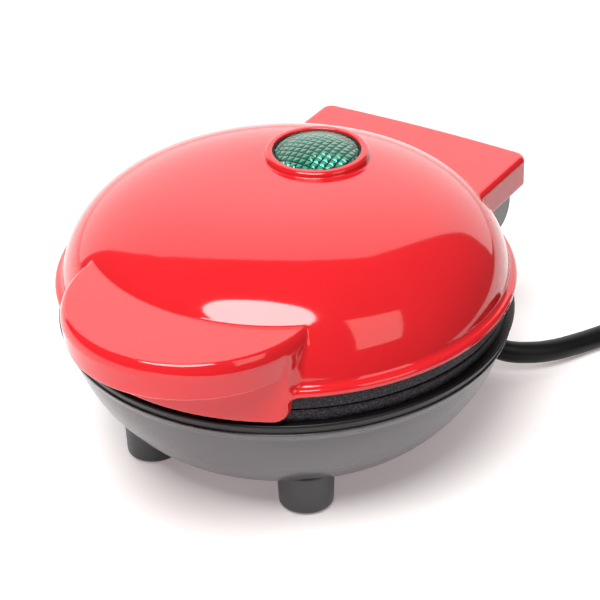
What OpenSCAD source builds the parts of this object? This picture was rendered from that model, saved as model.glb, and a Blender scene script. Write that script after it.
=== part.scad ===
// Round tabletop waffle maker: a domed lid on a rear hinge over a bowl-shaped base.
// Frame: +Z up, the floor at z = 0, the body axis at x = y = 0, the handle towards -Y.

/* [Lid] */
// Outer radius of the brim at the foot of the lid
brim_r = 63.5; // [60:0.5:66]
// Height of the brim's lower edge above the floor
brim_z = 48.1; // [47.8:0.1:48.4]
// Thickness of the brim
brim_t = 2.1; // [1.6:0.1:2.6]
// Radius of the dome where it springs from the brim
dome_r = 60.7; // [60.5:0.1:61]
// Rise of the dome's curve above its base line
dome_rise = 31.65; // [30:0.5:33]
// Squareness of the dome's profile; 2 is an ellipse
dome_power = 2.87; // [2.6:0.05:3.2]
// Wall thickness of the lid moulding
lid_wall = 2.4; // [2.2:0.1:2.6]

/* [Handle] */
// Distance of the handle disc's centre in front of the body axis
handle_c = 45.5; // [44:0.5:47]
// Radius of the handle disc
handle_r = 35; // [34:0.5:36]
// Height of the handle's flat top
handle_top = 64.7; // [63:0.1:66]
// Thickness of the handle
handle_t = 10.7; // [9:0.1:12]
// Half-width of the tab that hangs below the handle
tab_half = 33.6; // [32:0.1:36]

/* [Lens] */
// Distance of the lens behind the body axis
lens_y = 17.5; // [14:0.5:20]
// Radius of the coloured lens
lens_r = 11.7; // [11:0.1:12.4]
// Height of the top lip around the lens
bezel_top = 78.9; // [78:0.1:80]

/* [Hinge] */
// Distance of the hinge axis behind the body axis
hinge_y = 67; // [66:0.5:68]
// Height of the hinge axis
hinge_z = 44.5; // [44:0.1:45]
// Radius of the base's hinge barrels
barrel_r = 7.4; // [7:0.1:7.6]
// Radius of the hinge pin
pin_r = 2; // [1.5:0.1:2.5]
// Radial running clearance of the lid's knuckle on the pin
pin_gap = 0.05; // [0.02:0.01:0.1]
// Half-width of the cover over the hinge
hinge_cover_half = 33.05; // [32.8:0.05:34]

/* [Plates] */
// Outer radius of the cooking plates
plate_r = 61.1; // [60.5:0.1:61.2]
// Radius of the waffle itself
waffle_r = 51; // [48:0.5:51]
// Height of the parting line between the plates
parting_z = 43.1; // [43:0.1:43.2]
// Pitch of the waffle grid
stud_pitch = 12.6; // [10:0.2:14]
// Width of one stud of the grid
stud_w = 7.4; // [5:0.2:8]
// Height of the studs
stud_h = 3; // [2:0.1:3]

/* [Base] */
// Outer radius of the glossy ring around the base
ring_r = 63.5; // [63.2:0.1:64.5]
// Outer radius of the bowl's upper edge
bowl_r = 62.1; // [61.5:0.1:62.3]
// Height of the bowl's flat underside
bowl_z = 9; // [8.5:0.1:9.5]
// Wall thickness of the bowl
bowl_wall = 2.2; // [2:0.1:2.4]

/* [Feet] */
// Sideways distance of each foot from the body axis
foot_x = 24.9; // [23:0.1:26]
// Distance of each foot in front of or behind the body axis
foot_y = 31.95; // [30:0.05:33]
// Radius of a foot at the floor
foot_r = 7.47; // [7:0.01:8]

/* [Cord] */
// Diameter of the mains cord
cord_d = 6.3; // [6:0.1:6.8]
// Radius of the coil's outer turns
coil_r = 37.2; // [36:0.1:40]

/* [Hidden] */
$fn = 96;

eps = 0.01;
parting_gap = 0.3;                         // open gap between the two plates
dome_base = brim_z - 3.05;                 // base line of the dome's curve
brim_top = brim_z + brim_t;
handle_z = handle_top - handle_t;
tab_r = brim_r + 0.3;
tab_z = 40.9;                              // lower edge of the tab, clear of the base ring
tab_wall = 2.2;
tab_corner = 3.5;

cover_back = 80.5;                         // rear face of the hinge cover
cover_top = 57.6;
cover_z = 48.5;
cover_corner = 3.5;
cover_round = 1.8;                         // rounding of the hinge cover's upper edges
cover_wall = 1.8;
cover_bow_r = 495;                         // plan radius of the slightly bowed rear face
block_half = hinge_cover_half - cover_wall - 0.45;
pin_half = 29;
knuckle_half = 13;
knuckle_r = 7;
hinge_slot = block_half + 0.5;             // half-width of what is cut away round the hinge
plate_notch_y = 58.5;                      // rear of both plates, cut straight before the hinge

lens_seat = bezel_top - 4.5;
bezel_bore = lens_r + 0.5;
lens_flange_r = lens_r + 2.2;

ring_top = parting_z - 3.6;
ring_z = 36.3;                             // joint between the ring and the bowl
ring_low_r = ring_r - 1.6;                 // the ring's side leans in towards its foot
ring_bore = 54;
lower_plate_top = parting_z - parting_gap / 2;
upper_plate_z = parting_z + parting_gap / 2;
upper_flange_top = brim_z - 0.05;
pan_r = waffle_r + 2.4;
lower_floor = 37.7;                        // cooking surface between the lower studs
lower_pan_z = 35.3;
upper_floor = 48.6;                        // cooking surface between the upper studs
upper_pan_top = 51;
element_r = 33;
element_tube = 3.2;
cradle_half = 4.5;
lower_element_z = lower_pan_z - element_tube - 0.05;
upper_element_z = upper_pan_top + element_tube + 0.05;
lower_shield_z = 26;
upper_shield_z = 59.4;
shield_t = 0.8;
terminal_a = 10;                           // angle of an element's cold pins either side of the rear
element_end = 5;                           // half of the gap between its two ends

web_z = upper_pan_top + 0.05;              // underside of the lid frame's web
web_top = web_z + 2;
frame_r = 57.6;
frame_post_r = 49;
frame_post_angles = [45, 135, 225, 315];
cover_screw_r = 56;
cover_screw_angles = [30, 150, 270];
base_post_r = 42;
post_angles = [0, 90, 180, 270];
screw_shank = 1.5;
screw_clear = 1.7;
screw_pilot = 1.55;

bowl_arc_r = 45.62;                        // the bowl's side is one arc in section
bowl_arc_c = [16.77, 45.35];
foot_top = 12.4;
foot_pocket_r = 9.4;
pad_r = 5.2;
pad_t = 1.4;
foot_base = 0.5;                           // the foot stands on its pad, just off the floor

cord_r = cord_d / 2;
outlet = [20.5, 46, 14];                   // where the cord outlet meets the bowl's side
outlet_heading = 20;                       // plan direction of the outlet
outlet_drop = 19.5;                        // its slope down from the horizontal
boot_out = 19;
boot_in = 7;
coil_c = [110.4, 84];
coil_inner = coil_r - cord_d - 0.1;
coil_mid = (coil_r + coil_inner) / 2;
coil_h = 11.9;
plug_x = coil_c[0] + coil_mid;
plug_z = 7.6;
// the uncoiled cord, from the outlet's tip to where it joins the coil
cord_route = [[37.3, 52.1, 7.7], [41, 53.5, 6.4], [43.5, 54.9, 5.9], [46, 57, 5.4],
    [49, 60, 4.9], [51, 62.8, 4.5], [52.9, 66, 4.1], [54.5, 69.2, 3.8], [56.1, 72.5, 3.5],
    [57.7, 75.8, 3.3], [59.4, 79.2, 3.2], [62, 84, 3.2], [66, 90.2, 3.2], [71, 97, 3.2],
    [76.5, 103.5, 3.2]];
// its last stretch, from the coil to the plug
tail_route = [[144.4, 68, 9.4], [144.4, 60, 9], [144.4, 52, 7.8]];

function arc(c, r, a0, a1, n) = [for (i = [0:n]) let (a = a0 + (a1 - a0) * i / n)
    c + r * [cos(a), sin(a)]];
function dome_curve(r, rise, q0, n = 30) = [for (i = [0:n]) let (q = q0 + (90 - q0) * i / n)
    [r * pow(cos(q), 2 / dome_power), dome_base + rise * pow(sin(q), 2 / dome_power)]];
function bowl_x(z) = bowl_arc_c[0] + sqrt(pow(bowl_arc_r, 2) - pow(bowl_arc_c[1] - z, 2));
function unit(v) = v / norm(v);
function along(p, i) = unit(p[min(i + 1, len(p) - 1)] - p[max(i - 1, 0)]);
function ring_at(c, d, r, n, side) = let (u = unit(cross(d, side)), w = cross(u, d))
    [for (k = [0:n - 1]) c + r * (cos(360 * k / n) * u + sin(360 * k / n) * w)];

// a round tube that follows the points p; side is a direction that none of its runs takes
module tube(p, r, n = 10, side = [0, 0, 1]) {
    last = len(p) - 1;
    points = [for (i = [0:last]) each ring_at(p[i], along(p, i), r, n, side)];
    sides = [for (i = [0:last - 1], k = [0:n - 1]) let (m = (k + 1) % n)
        [i * n + k, (i + 1) * n + k, (i + 1) * n + m, i * n + m]];
    ends = [[for (k = [0:n - 1]) k], [for (k = [n - 1:-1:0]) last * n + k]];
    polyhedron(points, concat(sides, ends), 10);
}

// copies of a child on a circle about the body axis
module around(r, angles) {
    for (a = angles) rotate([0, 0, a]) translate([r, 0, 0]) children();
}

module disc(r, z0, z1) {
    translate([0, 0, z0]) cylinder(r = r, h = z1 - z0);
}

module washer(r_in, r_out, z0, z1) {
    rotate_extrude() translate([r_in, z0]) square([r_out - r_in, z1 - z0]);
}

// a pan-headed screw; its head's underside is at z = 0 and its shank points up
module screw(length, head_r, head_h) {
    cylinder(r = screw_shank, h = length, $fn = 32);
    difference() {
        translate([0, 0, -head_h]) cylinder(r = head_r, h = head_h, $fn = 32);
        for (a = [0, 90]) rotate([0, 0, a])
            translate([-head_r * 0.6, -0.4, -head_h - 1]) cube([head_r * 1.2, 0.8, 1 + head_h * 0.5]);
    }
}

// a shape drawn in the Y-Z plane, extruded to both sides of x = 0 between two distances
module across(x0, x1) {
    for (s = [-1, 1]) translate([s > 0 ? x0 : -x1, 0, 0])
        rotate([90, 0, 90]) linear_extrude(x1 - x0) children();
}

// ---------- lid ----------

module dome_outside() {
    rotate_extrude() polygon(concat([[0, brim_z], [brim_r, brim_z], [brim_r, brim_top - 0.5],
        [brim_r - 0.5, brim_top]], arc([dome_r + 2.2, brim_top + 2.2], 2.2, 270, 190, 4),
        dome_curve(dome_r, dome_rise, 11)));
}

module dome_inside() {
    rotate_extrude() polygon(concat([[0, brim_z - 10], [dome_r - lid_wall, brim_z - 10]],
        dome_curve(dome_r - lid_wall, dome_rise - lid_wall, 5)));
}

module handle_disc() {
    edge_w = 2.5;
    edge_h = 4;
    edge = [for (a = [0:15:90])
        [handle_r - edge_w + edge_w * cos(a), handle_top - edge_h + edge_h * sin(a)]];
    translate([0, -handle_c, 0]) rotate_extrude() polygon(concat([[0, handle_z],
        [handle_r - 1.2, handle_z], [handle_r - 0.4, handle_z + 0.8]], edge, [[0, handle_top]]));
}

module handle_pocket(z0, z1, shrink) {
    difference() {
        translate([0, -handle_c, 0]) disc(handle_r - 2.8 - shrink, z0, z1);
        disc(tab_r + 0.4 + shrink, z0 - 1, z1 + 1);
        translate([-60, -50, z0 - 1]) cube([120, 100, z1 - z0 + 2]);
    }
}

// the tab below the brim, and the round wall above it that carries the handle's ends
module front_tab() {
    intersection() {
        washer(tab_r - tab_wall, tab_r, tab_z, brim_z + eps);
        translate([0, -40, 0]) rotate([90, 0, 0]) linear_extrude(30) union() {
            translate([-tab_half, tab_z + tab_corner]) square([2 * tab_half, 20]);
            translate([-tab_half + tab_corner, tab_z]) square([2 * (tab_half - tab_corner), 20]);
            for (s = [-1, 1]) translate([s * (tab_half - tab_corner), tab_z + tab_corner])
                circle(tab_corner);
        }
    }
    intersection() {
        washer(dome_r - 1.5, tab_r, brim_z, handle_z + 1);
        translate([0, -handle_c, 0]) disc(handle_r - 0.4, brim_z - 1, handle_z + 2);
    }
}

module hinge_cover_plan() {
    side = hinge_cover_half - cover_corner;
    intersection() {
        translate([0, cover_back - cover_bow_r]) circle(cover_bow_r, $fn = 256);
        union() {
            translate([-hinge_cover_half, 40]) square([2 * hinge_cover_half, cover_back - cover_corner - 41]);
            translate([-side, 40]) square([2 * side, 60]);
            for (s = [-1, 1]) translate([s * side, cover_back - cover_corner - 1])
                circle(cover_corner);
        }
    }
}

module hinge_cover() {
    side = hinge_cover_half - cover_round;
    shoulder = cover_top - cover_round;
    intersection() {
        translate([0, 0, cover_z]) linear_extrude(cover_top - cover_z) hinge_cover_plan();
        translate([0, 100, 0]) rotate([90, 0, 0]) linear_extrude(60) union() {
            translate([-hinge_cover_half, cover_z - 1])
                square([2 * hinge_cover_half, shoulder - cover_z + 1]);
            translate([-side, cover_z]) square([2 * side, cover_top - cover_z]);
            for (s = [-1, 1]) translate([s * side, shoulder]) circle(cover_round);
        }
        translate([-40, 0, 0]) rotate([90, 0, 90]) linear_extrude(80) union() {
            translate([40, cover_z - 1]) square([cover_back - 40, shoulder - cover_z + 1]);
            translate([40, cover_z]) square([cover_back - cover_round - 40, cover_top - cover_z]);
            translate([cover_back - cover_round, shoulder]) circle(cover_round);
        }
    }
}

// the raised collar round the lens, flaring down into the dome
module bezel() {
    flank = [[2.9, -7.4], [4.2, -4.4], [3, -3.6], [2.5, -2.4], [2.3, -1], [1.8, -0.25], [1.1, 0]];
    translate([0, lens_y, bezel_top]) rotate_extrude()
        polygon(concat([[0, -7.4]], [for (p = flank) p + [bezel_bore, 0]], [[0, 0]]));
}

module lid_cover() {
    color([0.85, 0.08, 0.1]) difference() {
        union() {
            difference() {
                union() {
                    dome_outside();
                    handle_disc();
                    front_tab();
                    hinge_cover();
                }
                dome_inside();
                handle_pocket(handle_z - 1, handle_top - lid_wall, 0);
                translate([-hinge_slot, 50, brim_z - 2])
                    cube([2 * hinge_slot, cover_back - cover_wall - 50.5, cover_top - 2.3 - brim_z + 2]);
            }
            bezel();
            intersection() {
                around(cover_screw_r, cover_screw_angles) disc(3.3, web_top, 75);
                dome_outside();
            }
        }
        translate([0, lens_y, 0]) {
            disc(bezel_bore, lens_seat - 1, bezel_top + 1);
            disc(lens_flange_r + 0.3, bezel_top - 10, lens_seat);
        }
        around(cover_screw_r, cover_screw_angles) disc(screw_pilot, web_top - 1, 57.5);
    }
}

module handle_underplate() {
    color([0.8, 0.08, 0.1]) handle_pocket(handle_z, handle_z + 1.6, 0.1);
}

module indicator_lens() {
    crown = 2.8;
    dome_z = bezel_top - 0.6;
    sphere_r = (pow(lens_r, 2) + pow(crown, 2)) / (2 * crown);
    color([0.05, 0.45, 0.36]) translate([0, lens_y, 0]) difference() {
        union() {
            disc(lens_flange_r, lens_seat - 1.1, lens_seat);
            disc(lens_r, lens_seat - eps, dome_z);
            intersection() {
                translate([0, 0, dome_z + crown - sphere_r]) sphere(sphere_r, $fn = 128);
                disc(lens_r, dome_z - eps, dome_z + crown + 1);
            }
        }
        disc(lens_r - 2, lens_seat - 2, dome_z);
    }
}

module lens_gasket() {
    color([0.05, 0.06, 0.06]) translate([0, lens_y, 0])
        washer(lens_r + 0.05, bezel_bore - 0.05, lens_seat + 0.02, bezel_top - 0.5);
}

module lamp_holder() {
    z0 = lens_seat - 8.4;
    color([0.85, 0.85, 0.82]) translate([0, lens_y, 0]) difference() {
        union() {
            disc(lens_r, z0, lens_seat - 3.2);
            disc(lens_flange_r, lens_seat - 3.2, lens_seat - 1.2);
        }
        disc(lens_r - 1.6, z0 + 2, lens_seat);
        for (s = [-1, 1]) translate([s * 5, 0, 0]) disc(2.65, z0 - 1, z0 + 3);
    }
}

module indicator_lamps() {
    z0 = lens_seat - 10.4;
    color([0.9, 0.6, 0.3]) translate([0, lens_y, 0]) for (s = [-1, 1]) translate([s * 5, 0, 0]) {
        disc(2.6, z0, lens_seat - 1);
        translate([0, 0, lens_seat - 1]) sphere(2.6, $fn = 32);
    }
}

module lid_frame() {
    arm_z = upper_flange_top + 0.05;
    arm = [[53.5, arm_z], [58.7, arm_z], [hinge_y - knuckle_r + 0.2, hinge_z], [hinge_y, hinge_z],
        [hinge_y, hinge_z + knuckle_r], [60, 54.5], [53.5, web_top]];
    color([0.1, 0.1, 0.11]) difference() {
        union() {
            washer(pan_r + 0.4, frame_r, upper_flange_top, web_top);
            washer(44, frame_r, web_z, web_top);
            around(frame_post_r, frame_post_angles) disc(5.5, web_z, upper_shield_z);
            translate([-knuckle_half, 0, 0]) rotate([90, 0, 90]) linear_extrude(2 * knuckle_half) union() {
                polygon(arm);
                translate([hinge_y, hinge_z]) circle(knuckle_r);
            }
        }
        translate([-knuckle_half - 1, hinge_y, hinge_z]) rotate([0, 90, 0])
            cylinder(r = pin_r + pin_gap, h = 2 * knuckle_half + 2);
        around(frame_post_r, frame_post_angles) {
            disc(3.1, web_z - 1, web_z + 4.1);
            disc(screw_clear, web_z, upper_shield_z + 1);
        }
        around(cover_screw_r, cover_screw_angles) disc(screw_clear, upper_flange_top - 1, web_top + 1);
    }
}

module stud_grid(z) {
    reach = floor(waffle_r / stud_pitch);
    for (i = [-reach:reach], j = [-reach:reach]) {
        corner = norm([abs(i) * stud_pitch + stud_w / 2, abs(j) * stud_pitch + stud_w / 2]);
        if (corner < waffle_r - 1.5) translate([i * stud_pitch - stud_w / 2, j * stud_pitch - stud_w / 2, z])
            cube([stud_w, stud_w, stud_h + eps]);
    }
}

module hinge_notch(z0, z1) {
    translate([-hinge_slot, plate_notch_y, z0]) cube([2 * hinge_slot, 20, z1 - z0]);
}

module element_cradle(z0, z1, groove_z) {
    difference() {
        washer(element_r - cradle_half, element_r + cradle_half, z0, z1);
        rotate_extrude() translate([element_r, groove_z]) circle(element_tube + 0.05);
    }
}

module upper_cooking_plate() {
    color([0.16, 0.16, 0.17]) difference() {
        union() {
            washer(waffle_r, plate_r, upper_plate_z, upper_flange_top);
            washer(waffle_r - 1, pan_r, upper_flange_top - 1, upper_pan_top);
            disc(waffle_r, upper_floor, upper_pan_top);
            stud_grid(upper_floor - stud_h);
            element_cradle(upper_pan_top - eps, upper_pan_top + 3.4, upper_element_z);
            around(frame_post_r, frame_post_angles) disc(3, upper_pan_top - eps, upper_pan_top + 4);
        }
        hinge_notch(upper_plate_z - 1, upper_flange_top + 1);
        around(frame_post_r, frame_post_angles) disc(screw_pilot, upper_pan_top - 1, upper_pan_top + 5);
        around(cover_screw_r, cover_screw_angles) {
            disc(screw_clear, upper_plate_z - 1, upper_flange_top + 1);
            disc(3.2, upper_plate_z - 1, upper_plate_z + 2.4);
        }
    }
}

// a tubular element bent to an open ring, with a cold pin at each end
module heating_element(z, out) {
    color([0.6, 0.58, 0.55]) {
        translate([0, 0, z]) rotate([0, 0, 90 + element_end]) rotate_extrude(angle = 360 - 2 * element_end)
            translate([element_r, 0]) circle(element_tube);
        around(element_r, [90 - terminal_a, 90 + terminal_a]) disc(2.4, z + min(out, 0), z + max(out, 0));
    }
}

module upper_heating_element() {
    heating_element(upper_element_z, 9);
}

module upper_heat_shield() {
    color([0.75, 0.76, 0.78]) difference() {
        union() {
            disc(52, upper_shield_z, upper_shield_z + shield_t);
            washer(22, 24, upper_shield_z, upper_shield_z + 2);
        }
        around(frame_post_r, frame_post_angles) disc(screw_clear, upper_shield_z - 1, upper_shield_z + 3);
        around(element_r, [90 - terminal_a, 90 + terminal_a])
            disc(3.6, upper_shield_z - 1, upper_shield_z + 3);
    }
}

module upper_plate_screws() {
    length = upper_shield_z + shield_t - upper_pan_top + 0.9;
    color([0.7, 0.7, 0.72]) around(frame_post_r, frame_post_angles)
        translate([0, 0, upper_shield_z + shield_t]) mirror([0, 0, 1]) screw(length, 2.8, 1.8);
}

module cover_screws() {
    color([0.7, 0.7, 0.72]) around(cover_screw_r, cover_screw_angles)
        translate([0, 0, upper_plate_z + 2.4]) screw(11, 2.9, 1.8);
}

// ---------- base ----------

module bowl_outside() {
    side = arc(bowl_arc_c, bowl_arc_r, -48.9, -13.4, 14);
    rotate_extrude() polygon(concat([[0, bowl_z], [bowl_x(bowl_z + 2) - 3.6, bowl_z],
        [bowl_x(bowl_z + 2) - 1.2, bowl_z + 0.7]], side,
        [[bowl_r, ring_z - 0.7], [bowl_r, ring_z], [0, ring_z]]));
}

module bowl_inside() {
    side = arc(bowl_arc_c, bowl_arc_r - bowl_wall, -46, -12, 12);
    rotate_extrude() polygon(concat([[0, bowl_z + bowl_wall], [bowl_x(bowl_z + 2) - 4.5, bowl_z + bowl_wall]],
        side, [[59.3, ring_z + 2], [0, ring_z + 2]]));
}

module at_feet() {
    for (sx = [-1, 1], sy = [-1, 1]) translate([sx * foot_x, sy * foot_y, 0]) children();
}

// the outlet's own axis: it starts at the bowl's side and slopes down and out
module at_outlet() {
    translate(outlet) rotate([0, 90 + outlet_drop, outlet_heading]) children();
}

module hinge_screw_axis(y) {
    for (s = [-1, 1]) translate([s * 22, y, 30.5]) rotate([-90, 0, 0]) children();
}

module base_bowl() {
    color([0.2, 0.2, 0.21]) difference() {
        union() {
            difference() {
                bowl_outside();
                bowl_inside();
            }
            intersection() {
                union() {
                    around(base_post_r, post_angles) disc(4.6, bowl_z, lower_shield_z);
                    at_feet() disc(11, bowl_z, 15);
                    hinge_screw_axis(52.5) cylinder(r = 3.6, h = 10);
                    at_outlet() translate([0, 0, -boot_in + 2]) cylinder(r = 6.4, h = 12);
                }
                bowl_outside();
            }
            difference() {
                at_outlet() translate([0, 0, -4]) cylinder(r = 6, h = 8);
                bowl_inside();
            }
        }
        around(base_post_r, post_angles) {
            disc(3.4, bowl_z - 1, bowl_z + 3);
            disc(screw_clear, bowl_z, lower_shield_z + 1);
        }
        at_feet() {
            disc(foot_pocket_r, bowl_z - 2, foot_top);
            disc(3.05, foot_top - 1, 16);
        }
        hinge_screw_axis(45) cylinder(r = 3.2, h = 7.5);
        hinge_screw_axis(50) cylinder(r = screw_clear, h = 15);
        at_outlet() translate([0, 0, -12]) cylinder(r = 4.6, h = 20);
    }
}

module base_ring() {
    shoulder = 0.6;
    tongue = [56.2, 58.1];
    tongue_z = ring_z - 2.5;
    color([0.03, 0.03, 0.03]) difference() {
        rotate_extrude() polygon(concat([[ring_bore, ring_z], [tongue[0], ring_z], [tongue[0], tongue_z],
            [tongue[1], tongue_z], [tongue[1], ring_z], [ring_low_r - 0.3, ring_z], [ring_low_r, ring_z + 0.3]],
            arc([ring_r - shoulder, ring_top - shoulder], shoulder, 0, 90, 4), [[ring_bore, ring_top]]));
        translate([-hinge_slot, 30, ring_z - 5]) cube([2 * hinge_slot, 50, 20]);
    }
}

module hinge_block() {
    ear = [[hinge_y - barrel_r, hinge_z], [hinge_y - barrel_r, 38], [64, 31], [66, 31], [hinge_y, 38]];
    color([0.06, 0.06, 0.065]) difference() {
        union() {
            difference() {
                translate([-block_half, 46, 26.5]) cube([2 * block_half, 66 - 46, ring_top - 26.5]);
                bowl_outside();
                disc(ring_bore, lower_pan_z - 1, ring_top + 1);
                translate([-50, 40, 20]) cube([100, 12, lower_pan_z - 20]);
            }
            across(knuckle_half + 0.5, block_half) union() {
                translate([hinge_y, hinge_z]) circle(barrel_r);
                polygon(ear);
            }
        }
        translate([-knuckle_half - 0.4, hinge_y, hinge_z]) rotate([0, 90, 0])
            cylinder(r = barrel_r + 0.3, h = 2 * knuckle_half + 0.8);
        translate([-pin_half, hinge_y, hinge_z]) rotate([0, 90, 0]) cylinder(r = pin_r, h = 2 * pin_half);
        hinge_screw_axis(50) cylinder(r = screw_pilot, h = 14);
    }
}

module hinge_pin() {
    color([0.75, 0.75, 0.77]) translate([-pin_half, hinge_y, hinge_z]) rotate([0, 90, 0])
        cylinder(r = pin_r, h = 2 * pin_half);
}

module hinge_screws() {
    color([0.7, 0.7, 0.72]) hinge_screw_axis(52.5) screw(11, 2.9, 1.8);
}

module lower_cooking_plate() {
    color([0.16, 0.16, 0.17]) difference() {
        union() {
            washer(waffle_r, plate_r, ring_top, lower_plate_top);
            washer(waffle_r - 1, pan_r, lower_pan_z, ring_top + 1);
            disc(waffle_r, lower_pan_z, lower_floor);
            stud_grid(lower_floor - eps);
            element_cradle(lower_pan_z - 3.4, lower_pan_z + eps, lower_element_z);
            around(base_post_r, post_angles) disc(3.2, lower_shield_z + shield_t, lower_pan_z + eps);
        }
        hinge_notch(ring_top - 1, lower_plate_top + 1);
        around(base_post_r, post_angles) disc(screw_pilot, lower_shield_z, lower_pan_z + 1);
    }
}

module lower_heating_element() {
    heating_element(lower_element_z, -10);
}

module lower_heat_shield() {
    color([0.75, 0.76, 0.78]) difference() {
        union() {
            disc(50, lower_shield_z, lower_shield_z + shield_t);
            washer(50 - shield_t, 50, lower_shield_z, lower_shield_z + 5);
        }
        around(base_post_r, post_angles) disc(screw_clear, lower_shield_z - 1, lower_shield_z + 2);
        around(element_r, [90 - terminal_a, 90 + terminal_a])
            disc(3.6, lower_shield_z - 1, lower_shield_z + 2);
        disc(5, lower_shield_z - 1, lower_shield_z + 2);
    }
}

module thermostat() {
    color([0.8, 0.78, 0.7]) {
        disc(8, lower_pan_z - 5, lower_pan_z);
        for (s = [-1, 1]) translate([s * 2.5 - 1.5, -0.4, lower_shield_z - 4])
            cube([3, 0.8, lower_pan_z - 5 - lower_shield_z + 4]);
    }
}

module thermal_fuse() {
    z = lower_shield_z - 2.4;
    color([0.85, 0.85, 0.8]) translate([-18, -14, z]) {
        translate([-6, 0, 0]) rotate([0, 90, 0]) cylinder(r = 2, h = 12, $fn = 32);
        for (x = [-4, 3]) translate([x, -1, 0]) cube([1, 2, 2.4]);
    }
}

module terminal_block() {
    floor_z = bowl_z + bowl_wall;
    color([0.9, 0.88, 0.8]) translate([-12, 10, floor_z]) difference() {
        cube([24, 12, 10]);
        for (x = [6, 18]) translate([x, -1, 6]) rotate([-90, 0, 0]) cylinder(r = 1.6, h = 14, $fn = 32);
        for (x = [6, 18]) translate([x, 6, 6]) cylinder(r = 1.4, h = 6, $fn = 32);
    }
}

module internal_wires() {
    wire_r = 1.1;
    back_y = 10 + 12;
    front_y = 10;
    wire_z = bowl_z + bowl_wall + 6;
    pin_x = element_r * sin(terminal_a);
    pin_y = element_r * cos(terminal_a);
    pin_z = lower_element_z - 10;
    tab_z0 = lower_shield_z - 4;
    fuse_z = lower_shield_z - 2.4;
    color([0.55, 0.12, 0.1]) {
        for (s = [-1, 1]) tube([[s * 6, back_y - 2, wire_z], [s * 6, back_y + 3, wire_z],
            [s * pin_x, pin_y - 3, wire_z + 1], [s * pin_x, pin_y, wire_z + 3], [s * pin_x, pin_y, pin_z]],
            wire_r, 8, [1, 0.2, 0.1]);
        tube([[6, front_y + 2, wire_z], [6, front_y - 4, wire_z], [3, 1, wire_z + 1],
            [2.5, 0, wire_z + 2.5], [2.5, 0, tab_z0]], wire_r, 8, [1, 0.2, 0.1]);
        tube([[-2.5, 0, tab_z0], [-2.5, 0, wire_z + 2.5], [-3.5, -2, wire_z + 1], [-8, -11, wire_z + 1.5],
            [-9.5, -13.5, fuse_z - 1], [-12, -14, fuse_z]], wire_r, 8, [1, -1, 1]);
    }
}

module foot() {
    color([0.2, 0.2, 0.21]) difference() {
        union() {
            rotate_extrude() polygon([[0, foot_base], [foot_r - 1, foot_base],
                [foot_r - 0.3, foot_base + 0.4], [foot_r, foot_base + 1.1], [foot_r + 0.5, foot_top - 1],
                [foot_r + 0.2, foot_top], [0, foot_top]]);
            disc(3, foot_top - eps, 16);
            disc(4.2, 15, 16.4);
        }
        disc(pad_r + 0.1, foot_base - 1, pad_t);
    }
}

module foot_pads() {
    color([0.12, 0.12, 0.12]) at_feet() disc(pad_r, 0, pad_t);
}

module base_screws() {
    color([0.7, 0.7, 0.72]) around(base_post_r, post_angles) translate([0, 0, bowl_z + 3]) screw(22, 3, 2);
}

// ---------- cord ----------

module strain_relief() {
    color([0.08, 0.08, 0.085]) at_outlet() rotate_extrude() polygon([[0, -boot_in], [5.6, -boot_in],
        [5.6, -boot_in + 1.6], [4.5, -boot_in + 1.6], [4.5, 4.1], [5.4, 4.1], [5.4, 6], [4.7, 7],
        [cord_r + 0.5, boot_out], [0, boot_out]]);
}

module power_cord() {
    color([0.06, 0.06, 0.06]) tube(cord_route, cord_r);
}

module cord_coil() {
    bevel = 1.6;
    r0 = coil_inner - cord_r;
    r1 = coil_r + cord_r;
    color([0.06, 0.06, 0.06]) translate([coil_c[0], coil_c[1], 0]) rotate_extrude()
        polygon([[r0 + bevel, 0], [r1 - bevel, 0], [r1, bevel], [r1, coil_h * 0.5], [r1 - 3, coil_h],
            [r0 + 3, coil_h], [r0, coil_h * 0.5], [r0, bevel]]);
}

module cord_tail() {
    color([0.06, 0.06, 0.06]) tube(tail_route, cord_r);
}

module cord_tie() {
    outer = coil_r + cord_r + 1;
    inner = coil_inner - cord_r - 1;
    color([0.15, 0.15, 0.15]) translate([coil_c[0] - 3, coil_c[1], 0]) difference() {
        translate([0, -outer, 0]) cube([6, outer - inner, coil_h + 1]);
        translate([-1, -outer + 0.8, -1]) cube([8, outer - inner - 1.6, coil_h + 1.2]);
    }
}

module plug_body() {
    boot_y = tail_route[2][1];
    color([0.06, 0.06, 0.06]) translate([plug_x, 0, plug_z]) {
        translate([0, boot_y, 0]) rotate([90, 0, 0]) cylinder(r1 = cord_r + 0.5, r2 = 5, h = 12 + eps);
        translate([0, boot_y - 12, 0]) rotate([90, 0, 0]) linear_extrude(26) union() {
            square([22 - 15, 15], center = true);
            for (s = [-1, 1]) translate([s * 3.5, 0]) circle(7.5);
        }
    }
}

module plug_blades() {
    face_y = tail_route[2][1] - 38;
    color([0.75, 0.68, 0.45]) for (s = [-1, 1]) translate([plug_x + s * 6.35, face_y, plug_z])
        translate([-0.75, -16.5, -3.15]) cube([1.5, 16.5, 6.3]);
}

lid_cover();
handle_underplate();
indicator_lens();
lens_gasket();
lamp_holder();
indicator_lamps();
lid_frame();
upper_cooking_plate();
upper_heating_element();
upper_heat_shield();
upper_plate_screws();
cover_screws();
base_bowl();
base_ring();
hinge_block();
hinge_pin();
hinge_screws();
lower_cooking_plate();
lower_heating_element();
lower_heat_shield();
thermostat();
thermal_fuse();
terminal_block();
internal_wires();
translate([-foot_x, -foot_y, 0]) foot();  // foot_front_left
translate([foot_x, -foot_y, 0]) foot();  // foot_front_right
translate([-foot_x, foot_y, 0]) foot();  // foot_rear_left
translate([foot_x, foot_y, 0]) foot();  // foot_rear_right
foot_pads();
base_screws();
strain_relief();
power_cord();
cord_coil();
cord_tail();
cord_tie();
plug_body();
plug_blades();
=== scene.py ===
import math

import bmesh
import bpy
import numpy as np
from mathutils import Matrix, Vector


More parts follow.
